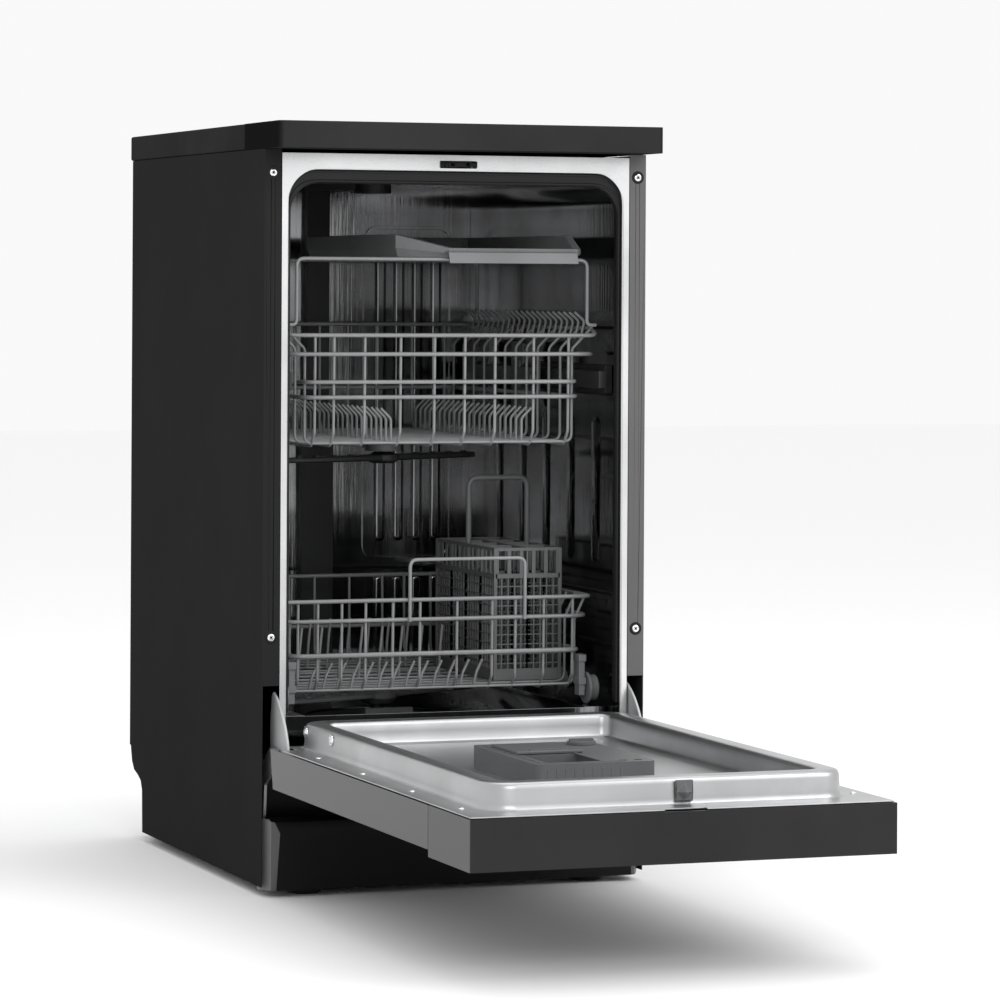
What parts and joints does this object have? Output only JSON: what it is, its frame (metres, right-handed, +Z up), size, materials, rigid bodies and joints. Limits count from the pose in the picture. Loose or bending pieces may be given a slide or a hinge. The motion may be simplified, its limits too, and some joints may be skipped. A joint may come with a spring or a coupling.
{
  "type": "dishwasher",
  "caption": "Slimline free-standing dishwasher with drop-down door, sliding wire racks, sideways sliding cutlery tray, spray arms and telescopic rails.",
  "frame": {"origin": "on the floor, under the middle of the whole object with its door open", "axes": "+Z up, +Y from the open door towards the back, +X to the right seen from the front"},
  "size_m": [0.448, 1.223, 0.845],
  "materials": {
    "side_panels": "satin black",
    "worktop": "satin grained black",
    "trim": "semi gloss",
    "galvanised": "galvanised grey",
    "plinth": "matte",
    "black_plastic": "matte",
    "screw_steel": "bright",
    "tub_steel": "mirror-like",
    "frame_steel": "satin",
    "seal_rubber": "soft",
    "grey_plastic": "matte",
    "dark_plastic": "matte",
    "rack_coating": "satin nylon coating",
    "wheel_plastic": "matte",
    "rail_steel": "dark",
    "tray_plastic": "matte",
    "basket_plastic": "matte",
    "door_skin": "gloss black with grey edge",
    "panel_gloss": "gloss",
    "liner_steel": "satin",
    "arm_steel": "plain",
    "button_metal": "satin",
    "softener_white": "translucent white",
    "brass_end": "white"
  },
  "bodies": {
    "cabinet": {"side_panel_left": "side_panels", "side_panel_right": "side_panels", "rear_panel": "galvanised", "worktop_board": "worktop", "worktop_trim": "trim", "base_tray": "black_plastic", "kick_plate": "plinth", "levelling_feet": "black_plastic", "panel_screws": "screw_steel", "hinge_brackets": "galvanised", "tub_wrapper": "tub_steel", "tub_rear_wall": "tub_steel", "tub_floor": "tub_steel", "tub_frame": "frame_steel", "door_seal": "seal_rubber", "latch_strike": "black_plastic", "sump": "dark_plastic", "feed_pipe": "dark_plastic", "rail_guides": "dark_plastic", "circulation_pump": "galvanised", "drain_pump": "dark_plastic", "water_softener": "softener_white", "inlet_valve": "brass_end", "cable_gland": "black_plastic"},
    "filter": {"filter_cup": "grey_plastic"},
    "lower_spray_arm": {"lower_spray_arm": "grey_plastic"},
    "door": {"door_panel": "door_skin", "control_panel": "panel_gloss", "door_liner": "liner_steel", "door_bottom_strip": "black_plastic", "hinge_arms": "arm_steel", "latch_nose": "grey_plastic", "dispenser_body": "grey_plastic"},
    "dispenser_lid": {"dispenser_lid": "grey_plastic"},
    "rinse_aid_cap": {"rinse_aid_cap": "grey_plastic"},
    "power_button": {"power_button": "button_metal"},
    "program_button": {"program_button": "button_metal"},
    "start_button": {"start_button": "button_metal"},
    "lower_rack": {"lower_rack_floor": "rack_coating", "lower_rack_sides": "rack_coating", "lower_rack_ends": "rack_coating", "plate_tines": "rack_coating", "cutlery_basket": "basket_plastic"},
    "wheels_1": {"wheels_1": "wheel_plastic"},
    "wheels_2": {"wheels_2": "wheel_plastic"},
    "wheels_3": {"wheels_3": "wheel_plastic"},
    "wheels_4": {"wheels_4": "wheel_plastic"},
    "upper_rack": {"upper_rack_floor": "rack_coating", "upper_rack_sides": "rack_coating", "upper_rack_ends": "rack_coating", "tray_carrier": "rack_coating", "roller_plates": "grey_plastic", "upper_feed_duct": "grey_plastic"},
    "rollers_front_top": {"rollers_front_top": "wheel_plastic"},
    "rollers_front_low": {"rollers_front_low": "wheel_plastic"},
    "rollers_rear_top": {"rollers_rear_top": "wheel_plastic"},
    "rollers_rear_low": {"rollers_rear_low": "wheel_plastic"},
    "rack_rails": {"rack_rails": "rail_steel"},
    "cutlery_tray": {"cutlery_tray": "tray_plastic"},
    "upper_spray_arm": {"upper_spray_arm": "dark_plastic"}
  },
  "joints": [
    {"name": "door_hinge", "type": "hinge", "parent": "cabinet", "child": "door", "pos_m": [0, 0.0415, 0.155], "axis": [1, 0, 0], "range_deg": [-90, 0]},
    {"name": "lower_rack_slide", "type": "slide", "parent": "cabinet", "child": "lower_rack", "axis": [0, -1, 0], "range_m": [0, 0.505]},
    {"name": "upper_rack_slide", "type": "slide", "parent": "cabinet", "child": "upper_rack", "axis": [0, -1, 0], "range_m": [0, 0.325]},
    {"name": "rail_slide", "type": "slide", "parent": "cabinet", "child": "rack_rails", "axis": [0, -1, 0], "range_m": [0, 0.1625]},
    {"name": "tray_slide", "type": "slide", "parent": "upper_rack", "child": "cutlery_tray", "axis": [1, 0, 0], "range_m": [-0.124, 0]},
    {"name": "lower_arm_spin", "type": "hinge", "parent": "cabinet", "child": "lower_spray_arm", "pos_m": [0, 0.3315, 0.186], "axis": [0, 0, 1], "continuous": true},
    {"name": "upper_arm_spin", "type": "hinge", "parent": "upper_rack", "child": "upper_spray_arm", "pos_m": [0, 0.3135, 0.466], "axis": [0, 0, 1], "continuous": true},
    {"name": "filter_twist", "type": "hinge", "parent": "cabinet", "child": "filter", "pos_m": [0, 0.2875, 0.166], "axis": [0, 0, 1], "range_deg": [0, 90]},
    {"name": "dispenser_lid_slide", "type": "slide", "parent": "door", "child": "dispenser_lid", "axis": [0, 1, 0], "range_m": [-0.075, 0]},
    {"name": "rinse_cap_twist", "type": "hinge", "parent": "door", "child": "rinse_aid_cap", "pos_m": [0.026, -0.2615, 0.192], "axis": [0, 0, 1], "range_deg": [-90, 0]},
    {"name": "power_press", "type": "slide", "parent": "door", "child": "power_button", "axis": [0, 0, 1], "range_m": [0, 0.0015], "stiffness_N_per_m": 200},
    {"name": "program_press", "type": "slide", "parent": "door", "child": "program_button", "axis": [0, 0, 1], "range_m": [0, 0.0015], "stiffness_N_per_m": 200},
    {"name": "start_press", "type": "slide", "parent": "door", "child": "start_button", "axis": [0, 0, 1], "range_m": [0, 0.0015], "stiffness_N_per_m": 200},
    {"name": "wheel_roll_1", "type": "hinge", "parent": "lower_rack", "child": "wheels_1", "pos_m": [0, 0.1195, 0.2118], "axis": [1, 0, 0], "continuous": true},
    {"name": "wheel_roll_2", "type": "hinge", "parent": "lower_rack", "child": "wheels_2", "pos_m": [0, 0.2185, 0.2118], "axis": [1, 0, 0], "continuous": true},
    {"name": "wheel_roll_3", "type": "hinge", "parent": "lower_rack", "child": "wheels_3", "pos_m": [0, 0.3965, 0.2118], "axis": [1, 0, 0], "continuous": true},
    {"name": "wheel_roll_4", "type": "hinge", "parent": "lower_rack", "child": "wheels_4", "pos_m": [0, 0.5075, 0.2118], "axis": [1, 0, 0], "continuous": true},
    {"name": "roller_front_top_roll", "type": "hinge", "parent": "upper_rack", "child": "rollers_front_top", "pos_m": [0, 0.3335, 0.5869], "axis": [1, 0, 0], "continuous": true},
    {"name": "roller_front_low_roll", "type": "hinge", "parent": "upper_rack", "child": "rollers_front_low", "pos_m": [0, 0.3335, 0.5371], "axis": [1, 0, 0], "continuous": true},
    {"name": "roller_rear_top_roll", "type": "hinge", "parent": "upper_rack", "child": "rollers_rear_top", "pos_m": [0, 0.4915, 0.5869], "axis": [1, 0, 0], "continuous": true},
    {"name": "roller_rear_low_roll", "type": "hinge", "parent": "upper_rack", "child": "rollers_rear_low", "pos_m": [0, 0.4915, 0.5371], "axis": [1, 0, 0], "continuous": true}
  ],
  "couplings": [
    {"joint": "wheel_roll_1", "follows": "lower_rack_slide", "rad_per_m": 55.556},
    {"joint": "wheel_roll_2", "follows": "lower_rack_slide", "rad_per_m": 55.556},
    {"joint": "wheel_roll_3", "follows": "lower_rack_slide", "rad_per_m": 55.556},
    {"joint": "wheel_roll_4", "follows": "lower_rack_slide", "rad_per_m": 55.556},
    {"joint": "roller_front_top_roll", "follows": "upper_rack_slide", "rad_per_m": 34.247},
    {"joint": "roller_front_low_roll", "follows": "upper_rack_slide", "rad_per_m": -34.247},
    {"joint": "roller_rear_top_roll", "follows": "upper_rack_slide", "rad_per_m": 34.247},
    {"joint": "roller_rear_low_roll", "follows": "upper_rack_slide", "rad_per_m": -34.247},
    {"joint": "rail_slide", "follows": "upper_rack_slide", "ratio": 0.5}
  ]
}
